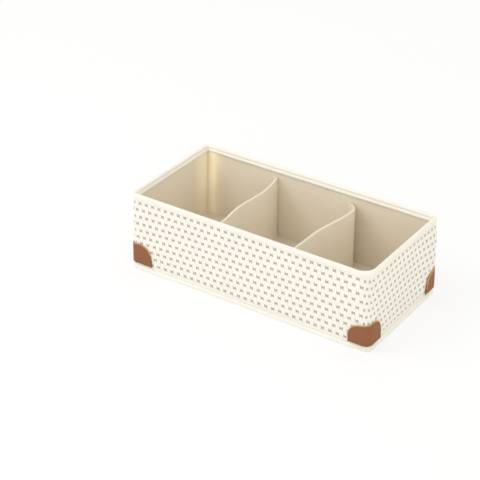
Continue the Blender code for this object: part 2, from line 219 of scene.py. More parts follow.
# How strongly the pale room lights the box, with a faint warmth that the camera doesn't see
WHITE = (1, 1, 1, 1)
ROOM_LEVEL = 0.91
ROOM_COLOUR = (1.0, 0.99, 0.97, 1.0)

# Soft lamps: place, size, power and colour
LAMPS = {
    "soft_key": ((-0.85, -0.75, 1.35), 0.9, 7.0, (1.0, 1.0, 1.0)),
    "soft_fill": ((1.2, -0.55, 0.75), 0.8, 2.0, (1.0, 0.90, 0.62)),
}
LAMP_AIM = Vector((0, 0, 0.05))

# Camera of the product view
CAMERA_PLACE = (0.76306, -1.18452, 0.89364)
CAMERA_RIGHT = (0.823922, 0.566689, -0.004025)
CAMERA_UP = (-0.288492, 0.425536, 0.857725)
CAMERA_LENS = 112.21


def screen(red, green, blue):
    """Linear value of a colour as seen on screen, each channel from 0 to 255."""
    linear = []
    for channel in (red, green, blue):
        value = channel / 255
        linear.append(value / 12.92 if value <= 0.04045 else ((value + 0.055) / 1.055) ** 2.4)
    return tuple(linear)


def shade(colour, share=1.0):
    """A colour made darker or lighter by a share, and opaque."""
    return (*[channel * share for channel in colour[:3]], 1.0)


def smooth_share(value, start, end):
    """0 up to start, 1 from end on, and a smooth rise between. Start may exceed end."""
    share = min(max((value - start) / (end - start), 0), 1)
    return share * share * (3 - 2 * share)


def band(value, rise, fade):
    """1 in a band of values and 0 outside it, with a smooth rise and a smooth fade."""
    return smooth_share(value, *rise) * smooth_share(value, *fade)


# Sizes and colours that a user changes


class OrganizerSizes(bpy.types.PropertyGroup):
    print_row: FloatProperty(
        name="Print rows", description="Distance between rows of marks", default=8.28 * MM, unit="LENGTH"
    )
    print_step: FloatProperty(
        name="Print step", description="Distance between marks along a row", default=8.95 * MM, unit="LENGTH"
    )
    mark_reach: FloatProperty(
        name="Mark reach", description="Half the width of one mark", default=1.95 * MM, unit="LENGTH"
    )
    mark_line: FloatProperty(
        name="Mark line", description="Half the thickness of its strokes", default=0.90 * MM, unit="LENGTH"
    )
    cover_thread: FloatProperty(
        name="Cover thread", description="Distance between its threads", default=0.55 * MM, unit="LENGTH"
    )
    lining_thread: FloatProperty(
        name="Lining thread", description="Distance between its threads", default=0.5 * MM, unit="LENGTH"
    )
    tape_thread: FloatProperty(
        name="Tape thread", description="Distance between its threads", default=0.42 * MM, unit="LENGTH"
    )
    slack: FloatProperty(
        name="Slack", description="How far slack cloth stands off its card", default=0.35 * MM, unit="LENGTH"
    )
    stitch: FloatProperty(
        name="Stitch", description="Distance between stitches of the cloth", default=3.4 * MM, unit="LENGTH"
    )
    guard_stitch: FloatProperty(
        name="Guard stitch", description="Distance between its stitches", default=2.6 * MM, unit="LENGTH"
    )
    sewing_thread: FloatProperty(
        name="Sewing thread", description="Radius of the sewing thread", default=0.17 * MM, unit="LENGTH"
    )
    pucker: FloatProperty(
        name="Pucker", description="How far each stitch draws the tape in", default=0.4 * MM, unit="LENGTH"
    )
    guard_steps: IntProperty(
        name="Guard steps", description="Columns of faces across a guard", default=44, min=12, max=120
    )


class OrganizerColours(bpy.types.PropertyGroup):
    cover: FloatVectorProperty(
        name="Cover", description="Ground of the print", default=screen(249, 245, 237), subtype="COLOR"
    )
    mark: FloatVectorProperty(
        name="Mark", description="Printed mark", default=screen(176, 170, 159), subtype="COLOR"
    )
    tape: FloatVectorProperty(
        name="Tape", description="Binding tape", default=screen(251, 248, 240), subtype="COLOR"
    )
    lining: FloatVectorProperty(
        name="Lining", description="Lining and dividers", default=screen(240, 230, 212), subtype="COLOR"
    )
    guard: FloatVectorProperty(
        name="Guard", description="Face of the leatherette", default=screen(150, 97, 64), subtype="COLOR"
    )
    guard_edge: FloatVectorProperty(
        name="Guard edge", description="Cut edge of the guards", default=screen(205, 155, 84), subtype="COLOR"
    )
    thread: FloatVectorProperty(
        name="Thread", description="Thread of the cloth", default=screen(240, 230, 208), subtype="COLOR"
    )
    guard_thread: FloatVectorProperty(
        name="Guard thread", description="Thread of the guards", default=screen(150, 108, 76), subtype="COLOR"
    )
    card: FloatVectorProperty(
        name="Card", description="Grey card in the walls", default=screen(176, 166, 150), subtype="COLOR"
    )


# Shader maths


class Wire:
    """A shader socket in an expression. Each operator adds one Math node."""

    def __init__(self, tree, socket):
        self.tree = tree
        self.socket = socket

    def maths(self, operation, *values):
        node = self.tree.nodes.new("ShaderNodeMath")
        node.operation = operation
        for slot, value in zip(node.inputs, values):
            plug(self.tree, slot, value)
        return Wire(self.tree, node.outputs[0])

    def __add__(self, other):
        return self.maths("ADD", self, other)

    def __radd__(self, other):
        return self.maths("ADD", other, self)

    def __sub__(self, other):
        return self.maths("SUBTRACT", self, other)

    def __rsub__(self, other):
        return self.maths("SUBTRACT", other, self)

    def __mul__(self, other):
        return self.maths("MULTIPLY", self, other)

    def __rmul__(self, other):
        return self.maths("MULTIPLY", other, self)

    def __truediv__(self, other):
        return self.maths("DIVIDE", self, other)

    def __rtruediv__(self, other):
        return self.maths("DIVIDE", other, self)

    def __abs__(self):
        return self.maths("ABSOLUTE", self)

    def floor(self):
        return self.maths("FLOOR", self)

    def sine(self):
        return self.maths("SINE", self)

    def at_least(self, other):
        return self.maths("MAXIMUM", self, other)


def plug(tree, slot, value):
    """Link a wire to a socket, or set the socket's own value."""
    if isinstance(value, Wire):
        tree.links.new(value.socket, slot)
    else:
        slot.default_value = value


class Nodes:
    """A node tree that is added to."""

    def __init__(self, tree):
        self.tree = tree

    def node(self, kind, settings=None, sockets=None, output=0):
        """Add any node: its settings first, then the values or links of its sockets."""
        node = self.tree.nodes.new(kind)
        for key, value in (settings or {}).items():
            setattr(node, key, value)
        for key, value in (sockets or {}).items():
            plug(self.tree, node.inputs[key], value)
        return Wire(self.tree, node.outputs[output])

    def mixed(self, share, first, second, blend="MIX"):
        """First colour where share is 0, second where it is 1."""
        settings = {"data_type": "RGBA", "blend_type": blend}
        return self.node("ShaderNodeMix", settings, {0: share, 6: first, 7: second}, 2)

    def feed(self, receiver, **sockets):
        """Set or link sockets of a node that is already there, named with _ for a space."""
        for name, value in sockets.items():
            plug(self.tree, self.tree.nodes[receiver].inputs[name.replace("_", " ")], value)


class Finish(Nodes):
    """A procedural material for one finish of the organizer."""

    def __init__(self, name, roughness, sheen=0.0):
        self.material = bpy.data.materials.new(name)
        self.material.use_nodes = True
        super().__init__(self.material.node_tree)
        self.surface(Roughness=roughness, Sheen_Weight=sheen, Sheen_Roughness=0.6, Specular_IOR_Level=0.25)

    def surface(self, **sockets):
        """Set or link sockets of the material's own shader."""
        self.feed("Principled BSDF", **sockets)

    def map_place(self, layer="cloth"):
        """Place on one of the cloth's maps."""
        return self.node("ShaderNodeUVMap", {"uv_map": layer})

    def map_axes(self, layer="cloth"):
        """Across and up values of one of the cloth's maps."""
        place = self.map_place(layer)
        return [self.node("ShaderNodeSeparateXYZ", None, {"Vector": place}, axis) for axis in (0, 1)]

    def clouds(self, scale, detail=2.0, stretch=None):
        """Soft noise over the piece, from 0 to 1. Stretch lengthens it along some axes."""
        place = self.node("ShaderNodeTexCoord", None, None, "Object")
        if stretch:
            place = self.node("ShaderNodeVectorMath", {"operation": "MULTIPLY"}, {0: place, 1: stretch})
        return self.node("ShaderNodeTexNoise", None, {"Vector": place, "Scale": scale, "Detail": detail})

    def rise(self, value, start, end):
        """0 where a value is below start, 1 above end, with a smooth edge. Start may exceed end."""
        settings = {"interpolation_type": "SMOOTHSTEP"}
        if start < end:
            return self.node("ShaderNodeMapRange", settings, {"Value": value, 1: start, 2: end})
        return 1 - self.node("ShaderNodeMapRange", settings, {"Value": value, 1: end, 2: start})

    def relief(self, height, distance, strength):
        """Let a height show as relief."""
        bump = {"Strength": strength, "Distance": distance, "Height": height}
        self.surface(Normal=self.node("ShaderNodeBump", None, bump))


class WovenFinish(Finish):
    """Plain woven cloth: threads with painted shade in the darker gaps between them, and a faint unevenness.
    """

    def __init__(self, name, colour, thread, roughness=0.92, sheen=0.08, gap_shade=0.86):
        super().__init__(name, roughness, sheen)
        self.weave = self.plain_weave(thread)
        duller = shade(colour, 0.955)
        # Painted shade in the gaps between the threads
        gaps = shade(colour, gap_shade)
        tone = self.mixed(self.clouds(scale=28.0, detail=3.0), duller, shade(colour))
        self.tone = self.mixed(self.rise(self.weave, 0.1, 0.7), gaps, tone)
        self.surface(Base_Color=self.tone)
        self.relief(self.weave, distance=0.09 * MM, strength=0.5)

    def plain_weave(self, pitch):
        """Height of a plain weave, from 0 between the threads to 1 on their crowns."""
        warp_place, weft_place = [axis / pitch for axis in self.map_axes()]
        warp_turn = (weft_place + warp_place.floor()) * math.pi
        weft_turn = (warp_place + weft_place.floor()) * math.pi
        middle = 0.62
        swing = 1 - middle
        warp = abs((warp_place * math.pi).sine()) * (middle + swing * warp_turn.sine())
        weft = abs((weft_place * math.pi).sine()) * (middle - swing * weft_turn.sine())
        return warp.at_least(weft)


def printed_finish(sizes, colours):
    """The cover's cloth, with staggered rows of a small cross drawn in fine lines."""
    finish = WovenFinish("printed_cotton", colours.cover, sizes.cover_thread)
    steps, rows = finish.map_axes("print")
    waist = 0.4 * MM
    arm_slope = 0.8
    square_to_arm = 0.8
    bleed = 0.16 * MM
    edge = 0.07 * MM
    in_gaps = 0.82

    row = (rows + 0.5).floor()
    odd = row - 2 * (row * 0.5).floor()
    staggered = steps + odd * 0.5
    across = abs(staggered - (staggered + 0.5).floor()) * sizes.print_step
    up = abs(rows - row) * sizes.print_row
    arm = (across - waist).at_least(0) * arm_slope
    ragged = finish.clouds(scale=2200.0, detail=1.0) - 0.5
    off_line = abs(up - arm) * square_to_arm + ragged * bleed
    stroke = finish.rise(off_line, sizes.mark_line + edge, sizes.mark_line - edge)
    within = finish.rise(across, sizes.mark_reach + edge, sizes.mark_reach - edge)
    ink = stroke * within * (in_gaps + (1 - in_gaps) * finish.rise(finish.weave, 0.1, 0.6))
    finish.surface(Base_Color=finish.mixed(ink, finish.tone, shade(colours.mark)))
    return finish.material


def rim_finish(sizes, colours):
    """Tape of the rim, with painted light and shade: the whole tape is made a little paler so that its hem
    inside reads pale, and its outside gets a warm painted shade.
    """
    finish = WovenFinish("rim_tape_cotton", shade(colours.tape, 1.03), sizes.tape_thread, gap_shade=0.93)
    # Painted shade on the tape's outside, warm in tone
    outside_painted_shade = (0.945, 0.935, 0.915, 1)
    outside = finish.rise(finish.map_axes()[1], 11 * MM, 7 * MM)
    finish.surface(Base_Color=finish.mixed(outside, finish.tone, outside_painted_shade, "MULTIPLY"))
    return finish.material


def lining_finish(name, sizes, colours):
    """Lining cloth with slubs, thick threads here and there. Where no card backs it, it gets painted light: a
    paler colour and a glow that stand for light coming through the cloth.
    """
    finish = WovenFinish(name, colours.lining, sizes.lining_thread, roughness=0.95, sheen=0.12)
    thick = shade(colours.lining, 0.9)
    # Painted light: where no card backs the lining, a paler colour and an emitted glow stand for light coming
    # through the cloth
    pale = shade(screen(255, 248, 226))
    painted_glow_light = (0.20, 0.165, 0.085, 1)
    painted_glow_mask = finish.map_axes("painted_glow_map")[0]
    slubs = finish.rise(finish.clouds(scale=260.0, stretch=(0.12, 0.12, 1.0)), 0.56, 0.72)
    tone = finish.mixed(slubs * 0.35, finish.tone, thick)
    finish.surface(Base_Color=finish.mixed(painted_glow_mask, tone, pale))
    finish.surface(Emission_Color=finish.mixed(painted_glow_mask, (0, 0, 0, 1), painted_glow_light), Emission_Strength=1.0)
    return finish.material


def leatherette_finish(colours):
    """Pebbled leatherette, paler along its upper rim, with painted shade in the creases of its grain and a
    painted shadow along its lower edge.
    """
    finish = Finish("leatherette", roughness=0.5)
    from_edge, over_foot = finish.map_axes("edge")
    pale_rim_reach = (1.15 * MM, 0.5 * MM)
    pale_rim_heights = (3 * MM, 9 * MM)
    pale_rim_ragged = 0.25 * MM
    pale_rim_strength = 0.85
    painted_shadow_heights = (1.1 * MM, 0.3 * MM)
    painted_shadow_strength = 0.7
    scaled = {"Vector": finish.map_place(), "Scale": 1150.0}
    cells = finish.node("ShaderNodeTexVoronoi", {"feature": "SMOOTH_F1"}, scaled)
    creases = finish.node("ShaderNodeTexVoronoi", {"feature": "DISTANCE_TO_EDGE"}, scaled)
    fine = finish.clouds(scale=900.0, detail=3.0)
    uneven = finish.clouds(scale=60.0)
    face = finish.mixed(uneven, shade(colours.guard, 0.93), shade(colours.guard, 1.05))
    # Painted shade: the creases of the pebble grain are darker
    face = finish.mixed(finish.rise(creases, 0.0, 0.12), shade(colours.guard, 0.78), face)
    # Paler band along the upper rim, in the cut edge's colour
    pale_rim = finish.rise(from_edge + fine * pale_rim_ragged, *pale_rim_reach) * finish.rise(over_foot, *pale_rim_heights)
    face = finish.mixed(pale_rim * pale_rim_strength, face, shade(colours.guard_edge))
    # Painted shadow: dark along the lower edge, where the guard meets the tape
    dark = finish.rise(over_foot, *painted_shadow_heights)
    finish.surface(Base_Color=finish.mixed(dark * painted_shadow_strength, face, shade(colours.guard, 0.3)))
    finish.surface(Roughness=0.42 + 0.2 * fine)
    pebbles = finish.rise(creases, 0.0, 0.3) + 0.35 * fine - 0.3 * cells
    finish.relief(pebbles, distance=0.08 * MM, strength=0.7)
    return finish.material


def cut_edge_finish(colours):
    """Cut edge of the leatherette: pressed fibres."""
    finish = Finish("leatherette_cut_edge", roughness=0.8)
    fibres = finish.clouds(scale=1500.0, detail=4.0, stretch=(1.0, 1.0, 0.3))
    tone = finish.mixed(fibres, shade(colours.guard_edge, 0.75), shade(colours.guard_edge, 1.1))
    finish.surface(Base_Color=tone)
    finish.relief(fibres, distance=0.1 * MM, strength=0.6)
    return finish.material


def thread_finish(name, colour):
    """Twisted sewing thread, with painted shade in the grooves of its twist."""
    finish = Finish(name, roughness=0.7, sheen=0.1)
    along, around = finish.map_axes()
    lay = 0.45 * MM
    twist = (along * (2 * math.pi / lay) + around * (2 * math.pi)).sine()
    # Painted shade in the grooves between the twisted plies
    finish.surface(Base_Color=finish.mixed(finish.rise(twist, -1.0, 0.6), shade(colour, 0.8), shade(colour)))
    finish.relief(twist, distance=0.04 * MM, strength=0.6)
    return finish.material


def card_finish(colours):
    """Grey recycled card with fibres and dark specks."""
    finish = Finish("grey_card", roughness=0.96)
    fibres = finish.clouds(scale=420.0, detail=5.0, stretch=(1.0, 1.0, 0.25))
    specks = finish.rise(finish.clouds(scale=900.0, detail=1.0), 0.68, 0.74)
    tone = finish.mixed(fibres, shade(colours.card, 0.88), shade(colours.card, 1.08))
    finish.surface(Base_Color=finish.mixed(specks * 0.5, tone, shade(colours.card, 0.5)))
    finish.relief(fibres, distance=0.06 * MM, strength=0.5)
    return finish.material


# Cloth and thread as meshes


def straight_run(wall):
    """Length of a wall between its corners."""
    return (LENGTH if wall in (FRONT, BACK) else DEPTH) - 2 * CORNER


class Outline:
    """The box's rounded outline by distance walked: along the front, the right, the back and the left."""

    def __init__(self):
        self.pieces = []
        walked = 0
        for wall in range(4):
            straight = straight_run(wall)
            self.pieces.append((wall, False, walked, straight))
            walked += straight
            self.pieces.append((wall, True, walked, CORNER * math.pi / 2))
            walked += CORNER * math.pi / 2
        self.around = walked

    def find(self, distance):
        """(wall, whether on its corner, share of that wall or corner) at a distance."""
        distance = distance % self.around
        for wall, on_corner, start, size in self.pieces:
            if distance < start + size:
                return wall, on_corner, (distance - start) / size
        return FRONT, False, 0.0

    def at(self, distance, inset, radii):
        """Plan point and outward direction at a distance, for cloth at an inset from the cover's face."""
        wall, on_corner, share = self.find(distance)
        half_along = (DEPTH if wall % 2 else LENGTH) / 2 - inset
        half_out = (LENGTH if wall % 2 else DEPTH) / 2 - inset
        radius = radii[wall]
        if on_corner:
            turn = share * math.pi / 2
            facing = OUTWARD[wall] * math.cos(turn) + ALONG[wall] * math.sin(turn)
            centre = OUTWARD[wall] * (half_out - radius) + ALONG[wall] * (half_along - radius)
            return centre + facing * radius, facing
        start = radii[wall - 1] - half_along
        end = half_along - radius
        return OUTWARD[wall] * half_out + ALONG[wall] * (start + (end - start) * share), OUTWARD[wall]

    def stations(self, spacing, corner_steps):
        """Distances at which a ring gets its columns, closer together on the corners."""
        found = []
        for wall, on_corner, start, size in self.pieces:
            steps = corner_steps if on_corner else max(1, round(size / spacing))
            found += [start + size * step / steps for step in range(steps)]
        return found

    def even_stations(self, count):
        """Distances of that many columns, all as far apart."""
        return [self.around * step / count for step in range(count)]

    def from_corner(self, distance):
        """Distance to the nearest corner's middle."""
        middles = [start + size / 2 for wall, on_corner, start, size in self.pieces if on_corner]
        half_round = self.around / 2
        return min(abs((distance - middle + half_round) % self.around - half_round) for middle in middles)


OUTLINE = Outline()


def corner_radii(inset, height):
    """Plan radius of each corner at an inset: parallel outside, then going over to the lining's."""
    if inset <= 0:
        return (CORNER - inset,) * 4
    share = min(inset / LINING_INSET, 1)
    beyond = max(inset - LINING_INSET, 0)
    slumped = SLUMPED_CORNER * smooth_share(height, *SLUMP_HEIGHTS)
    linings = (max(slumped, LINING_CORNER), LINING_CORNER, LINING_CORNER, LINING_CORNER)
    return tuple(max(CORNER + (lining - CORNER) * share - beyond, GAP) for lining in linings)


def leant(spot, height, outside=False):
    """A plan point of the walls at a height, moved out with their lean and the foot tape's splay."""
    flare = (COVER_FLARE if outside else END_FLARE) * (1 - height / HEIGHT)
    forward = 0.0
    near_floor = max(1 - height / SPLAY_TOP, 0) ** SPLAY_CURVE if outside else 0
    if spot.x > 0:
        flare += RIGHT_SPLAY * near_floor
    if spot.y < 0:
        forward = FRONT_SPLAY * smooth_share(LENGTH / 2 - spot.x, *RIGHT_END_FADE)
        forward += LEFT_END_SPLAY * smooth_share(-spot.x, *LEFT_END_REACH)
        forward *= near_floor
    return Vector((spot.x * (1 + flare / (LENGTH / 2)), spot.y * (1 + forward / (DEPTH / 2)), height))


def seam_lift(distance):
    """How much higher the foot tape's seam sits at a distance: only on the right wall."""
    wall, on_corner, share = OUTLINE.find(distance)
    if wall == RIGHT:
        return RIGHT_SEAM_LIFT * (smooth_share(share, 1, 0) if on_corner else 1)
    if wall == FRONT and on_corner:
        return RIGHT_SEAM_LIFT * smooth_share(share, 0, 1)
    return 0.0


def ripple(point, scale, seed):
    """Smooth unevenness between -1 and 1 that is the same on every run."""
    return noise.noise(Vector(point) * scale + Vector((seed, seed * 0.7, seed * 1.3)))


def stitch_pull(distance, stitch_count):
    """How much cloth is drawn in at a distance: 1 where a stitch goes through, near 0 between."""
    between = abs(math.sin(math.pi * distance * stitch_count / OUTLINE.around))
    return (1 - between) ** 1.5


def ring_points(section, distances, place):
    """A ring of points round the box for each part of a section, put where place says."""
    return [[place(distance, *part) for distance in distances] for part in section]


def as_piece(name, shape):
    """The piece that a finished bmesh gives."""
    mesh = bpy.data.meshes.new(name)
    shape.to_mesh(mesh)
    shape.free()
    return bpy.data.objects.new(name, mesh)


def loft(name, rings, maps, closed):
    """Cloth through rings of points. Each map gives (across, up) for a ring's number and a column's."""
    shape = bmesh.new()
    layers = {layer: shape.loops.layers.uv.new(layer) for layer in maps}
    rows = [[shape.verts.new(point) for point in ring] for ring in rings]
    columns = len(rings[0])
    for row, (here, above) in enumerate(zip(rows, rows[1:])):
        for column in range(columns if closed else columns - 1):
            after = (column + 1) % columns
            face = shape.faces.new((here[column], here[after], above[after], above[column]))
            places = ((row, column), (row, column + 1), (row + 1, column + 1), (row + 1, column))
            for layer, place_of in maps.items():
                for corner, place in zip(face.loops, places):
                    corner[layers[layer]].uv = place_of(*place)
    return as_piece(name, shape)


def solid_cloth(piece, thickness, rim_material=0):
    """Give a skin its thickness behind the face that shows, apply that, and smooth it."""
    bpy.context.scene.collection.objects.link(piece)
    solidify = piece.modifiers.new("Thickness", "SOLIDIFY")
    solidify.thickness = thickness
    solidify.offset = -1.0
    solidify.use_even_offset = False
    solidify.material_offset_rim = rim_material
    bpy.context.view_layer.update()
    applied = bpy.data.meshes.new_from_object(piece.evaluated_get(bpy.context.evaluated_depsgraph_get()))
    piece.modifiers.clear()
    old = piece.data
    piece.data = applied
    bpy.data.meshes.remove(old)
    applied.name = piece.name
    applied.shade_smooth()
    applied.set_sharp_from_angle(angle=math.radians(48))
    return piece


def show(piece, material, nodes=()):
    """Make a piece part of the organizer: its finish, its body, and the CAD nodes that it stands for."""
    if not piece.users_collection:
        bpy.context.scene.collection.objects.link(piece)
    piece.data.materials.clear()
    piece.data.materials.append(material)
    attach(piece, BODY)
    if nodes:
        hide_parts(*nodes)


def sewn_line(name, stitches, radius):
    """Stitches of thread as one mesh. Each stitch is (start, end, direction out of the cloth)."""
    shape = bmesh.new()
    layer = shape.loops.layers.uv.new("cloth")
    stations = 5
    sides = 6
    proud = 1.35
    sunk = 0.75
    thin_end = 0.55
    swell = 0.45
    for start, end, out in stitches:
        along = end - start
        side = along.cross(out).normalized()
        rings = []
        for station in range(stations):
            share = station / (stations - 1)
            crest = math.sin(math.pi * share)
            middle = start + along * share + out * radius * (proud * crest - sunk)
            thick = radius * (thin_end + swell * crest)
            ring = []
            for number in range(sides):
                angle = 2 * math.pi * number / sides
                spoke = side * math.cos(angle) + out * math.sin(angle)
                ring.append(shape.verts.new(middle + spoke * thick))
            rings.append(ring)
        for station in range(stations - 1):
            first, second = rings[station], rings[station + 1]
            near = along.length * station / (stations - 1)
            far = along.length * (station + 1) / (stations - 1)
            for number in range(sides):
                after = (number + 1) % sides
                face = shape.faces.new((first[number], second[number], second[after], first[after]))
                places = ((near, number), (far, number), (far, number + 1), (near, number + 1))
                for corner, (length, around) in zip(face.loops, places):
                    corner[layer].uv = (length, around / sides)
        shape.faces.new(rings[0])
        shape.faces.new(rings[-1][::-1])
    bmesh.ops.recalc_face_normals(shape, faces=shape.faces)
    seam = as_piece(name, shape)
    seam.data.shade_smooth()
    return seam


def stitches_round(count, inset, height, tilt, share, lifted=0.0):
    """Stitches right round the box at an inset and a height. Tilt is (out of the box, up)."""
    found = []
    pitch = OUTLINE.around / count
    for number in range(count):
        ends = []
        for distance in (number * pitch, (number + share) * pitch):
            spot, facing = OUTLINE.at(distance, inset, corner_radii(inset, height))
            ends.append(leant(spot, height + lifted * seam_lift(distance), True))
        out = Vector((*(facing * tilt[0]), tilt[1])).normalized()
        found.append((*ends, out))
    return found


# Maps of the cloth, for its weave and its print


def walked_at(distances, column):
    """Distance walked at a ring's column. One past the last closes the round."""
    return distances[column] if column < len(distances) else OUTLINE.around


def ring_map(distances, heights):
    """Cloth map of a ring: distance round the box, and height or length up the section."""
    return lambda row, column: (walked_at(distances, column), heights[row])


def no_painted_glow(row, column):
    """Painted-glow map of a lining that is backed all over: no painted light."""
    return 0.0, 0.0


def section_lengths(section):
    """Length walked along a section of (inset, height) points."""
    lengths = [0.0]
    for first, second in zip(section, section[1:]):
        lengths.append(lengths[-1] + math.dist(first[:2], second[:2]))
    return lengths


def droop(distance, height):
    """How much lower the print hangs near the corners, where the cloth is pulled down."""
    wall, on_corner, share = OUTLINE.find(distance)
    level = PRINT_HANG[wall]
    hang = CORNER_DROOP[wall]
    if on_corner:
        level = level * (1 - share) + PRINT_HANG[(wall + 1) % 4] * share
    else:
        size = straight_run(wall)
        to_end = max(1 - (1 - share) * size / DROOP_REACH[wall], 0)
        from_start = max(1 - share * size / DROOP_REACH[wall - 1], 0)
        hang = hang * to_end ** 2 + CORNER_DROOP[wall - 1] * from_start ** 2
    fullness = smooth_share(FIRST_ROW - height, 0, DROOP_COMPLETE)
    return level + hang * (DROOP_FIRST_ROW + (1 - DROOP_FIRST_ROW) * fullness)


def print_steps(distance):
    """Print steps carried from the start of the front wall to a distance."""
    steps = FIRST_STEP
    for wall, on_corner, start, size in OUTLINE.pieces:
        carried = CORNER_STEPS if on_corner else WALL_STEPS[wall]
        steps += carried * min(max((distance - start) / size, 0), 1)
    return steps


def slant(distance, height, print_step):
    """Steps by which the print runs ahead at a height, where its columns aren't upright."""
    wall, on_corner, share = OUTLINE.find(distance)
    if on_corner:
        return 0.0
    ahead = PRINT_SLANT[wall] * (height - SLANT_CENTRE[wall])
    if wall == FRONT:
        from_middle = (share - 0.5) * straight_run(wall)
        ahead -= PRINT_DRAWN_IN * from_middle * smooth_share(height, *DRAWN_IN_HEIGHTS)
    return ahead * math.sin(math.pi * share) ** SLANT_CURVE / print_step


# The cloth pieces


def bulge(distance, height):
    """How far the slack cover swells out over the back right guard."""
    wall, on_corner, share = OUTLINE.find(distance)
    if wall != RIGHT:
        return 0.0
    near = smooth_share(share, *(BULGE_ON_CORNER if on_corner else BULGE_ON_WALL))
    return CORNER_BULGE * near * band(height, *BULGE_HEIGHTS)


def make_cover(sizes):
    """The printed cloth round the walls, tucked in at its lower edge and slack between the tapes."""
    distances = OUTLINE.stations(spacing=5 * MM, corner_steps=8)
    levels = 26
    tuck = 0.5 * MM

    # Section: inset and height. The lower edge is turned in
    section = [(0.32 * MM, FOOT_TOP - 0.15 * MM), (0.06 * MM, FOOT_TOP + 0.15 * MM)]
    for level in range(levels + 1):
        section.append((0.0, FOOT_TOP + tuck + (WALL_TOP - FOOT_TOP - tuck) * level / levels))
    heights = [height for inset, height in section]

    slack_heights = ((FOOT_TOP + 2 * MM, 30 * MM), (92 * MM, 82 * MM))
    slack_off_corner = (6 * MM, 30 * MM)

    def raised(distance, height):
        return height + seam_lift(distance) * (WALL_TOP - height) / (WALL_TOP - FOOT_TOP)

    def place(distance, inset, height):
        spot, facing = OUTLINE.at(distance, inset, (CORNER - inset,) * 4)
        free = band(height, *slack_heights) * smooth_share(OUTLINE.from_corner(distance), *slack_off_corner)
        wave = ripple((*spot, height * 0.8), scale=17.0, seed=3.1) * 0.5 + 0.35
        spot = leant(spot + facing * sizes.slack * free * max(wave, -0.4), raised(distance, height), True)
        spot.x += bulge(distance, height)
        return spot

    def print_place(row, column):
        found = distances[column % len(distances)]
        fallen = FIRST_ROW - heights[row] - droop(found, heights[row])
        slanted = slant(found, raised(found, heights[row]), sizes.print_step)
        return print_steps(walked_at(distances, column)) - slanted, fallen / sizes.print_row

    maps = {"cloth": ring_map(distances, heights), "print": print_place}
    cover = solid_cloth(loft("cover_cloth", ring_points(section, distances, place), maps, True), COVER_CLOTH)
    return cover


def painted_glow_share(distance, height):
    """Share of painted light on the wall lining, a paler colour and a glow, where no card stands behind it.
    """
    wall, on_corner, share = OUTLINE.find(distance)
    corner = OUTLINE.from_corner(distance)
    strip = band(corner, *STRIP)
    if OUTLINE.from_corner(distance + 0.5 * MM) > corner:
        strip *= STRIP_PAST_CORNER
    elif wall in (FRONT, LEFT):
        strip *= STRIP_FRONT_CORNERS
    before_back_left = wall == BACK and (on_corner or share > 0.5)
    after_back_left = wall == LEFT and not on_corner and share < 0.5
    around = 0.0
    if before_back_left or after_back_left:
        around = BACK_LEFT_GLOW * band(corner, *BACK_LEFT_REACH)
    lit = 0.5 + 0.5 * smooth_share(height, *STRIP_HEIGHTS)
    return (around + (1 - around) * strip) * lit


def make_wall_lining(sizes):
    """Lining that lies on the cards, and falls back into the corners where there is none."""
    distances = OUTLINE.stations(spacing=4 * MM, corner_steps=6)
    levels = 24
    top = WALL_TOP - 1 * MM
    bottom = FLOOR + 0.15 * MM
    heights = [top + (bottom - top) * level / levels for level in range(levels + 1)]
    fall_back = 0.3 * MM
    fall_heights = ((14 * MM, 26 * MM), (89 * MM, 78 * MM))
    card_edge = (CARD_STOP + 2.5 * MM, CARD_STOP - 3 * MM)
    slack_heights = ((FLOOR + 1 * MM, 14 * MM), (88 * MM, 80 * MM))

    def place(distance, height):
        unbacked = smooth_share(OUTLINE.from_corner(distance), *card_edge)
        fall = fall_back * unbacked * band(height, *fall_heights)
        spot, facing = OUTLINE.at(distance, LINING_INSET, corner_radii(LINING_INSET, height))
        wave = max(ripple((*spot, height * 0.6), scale=21.0, seed=8.4) + 0.3, 0) * sizes.slack
        return leant(spot + facing * (fall - wave * band(height, *slack_heights)), height)

    # Map of the painted light through the lining, as a share
    def painted_glow_place(row, column):
        return painted_glow_share(distances[column % len(distances)], heights[row]), 0.0

    rings = ring_points([(height,) for height in heights], distances, place)
    maps = {"cloth": ring_map(distances, heights), "painted_glow_map": painted_glow_place}
    lining = solid_cloth(loft("lining_cloth", rings, maps, True), LINING_CLOTH)
    return lining


def make_base_layer(name, box, face_up, seed, sizes):
    """A flat cloth over or under the base card, cut to the rounded outline, with a little slack."""
    low, high = box
    cut = (DEPTH - (high.y - low.y)) / 2
    distances = OUTLINE.stations(spacing=6 * MM, corner_steps=5)
    height = high.z if face_up else low.z
    slack_share = 1.0 if face_up else 0.5
    levels = 16
    last_inset = DEPTH / 2 - cut - 0.6 * MM
    insets = [cut + last_inset * (level / levels) ** 1.2 for level in range(levels + 1)]

    def place(distance, inset):
        spot, facing = OUTLINE.at(distance, inset, (max(CORNER - inset, 0.5 * MM),) * 4)
        free = smooth_share(inset, cut + 4 * MM, cut + 16 * MM)
        lift = (ripple((*spot, 0), scale=24.0, seed=seed) * 0.5 + 0.2) * sizes.slack * free
        return leant(spot, height + max(lift, 0) * slack_share)

    rings = ring_points([(inset,) for inset in insets], distances, place)
    if not face_up:
        rings = rings[::-1]

    def flat_place(row, column):
        spot = rings[row][column % len(distances)]
        return spot[0] + LENGTH / 2, spot[1] + DEPTH / 2

    layer = loft(name, rings, {"cloth": flat_place, "painted_glow_map": no_painted_glow}, True)
    shape = bmesh.new()
    shape.from_mesh(layer.data)
    bmesh.ops.holes_fill(shape, edges=[edge for edge in shape.edges if is_inner(edge)], sides=0)
    shape.to_mesh(layer.data)
    shape.free()
    return solid_cloth(layer, high.z - low.z)


def is_inner(edge):
    """Whether an open edge belongs to the slit left in the middle of a base layer."""
    return edge.is_boundary and all(abs(vert.co.y) < 2 * MM for vert in edge.verts)


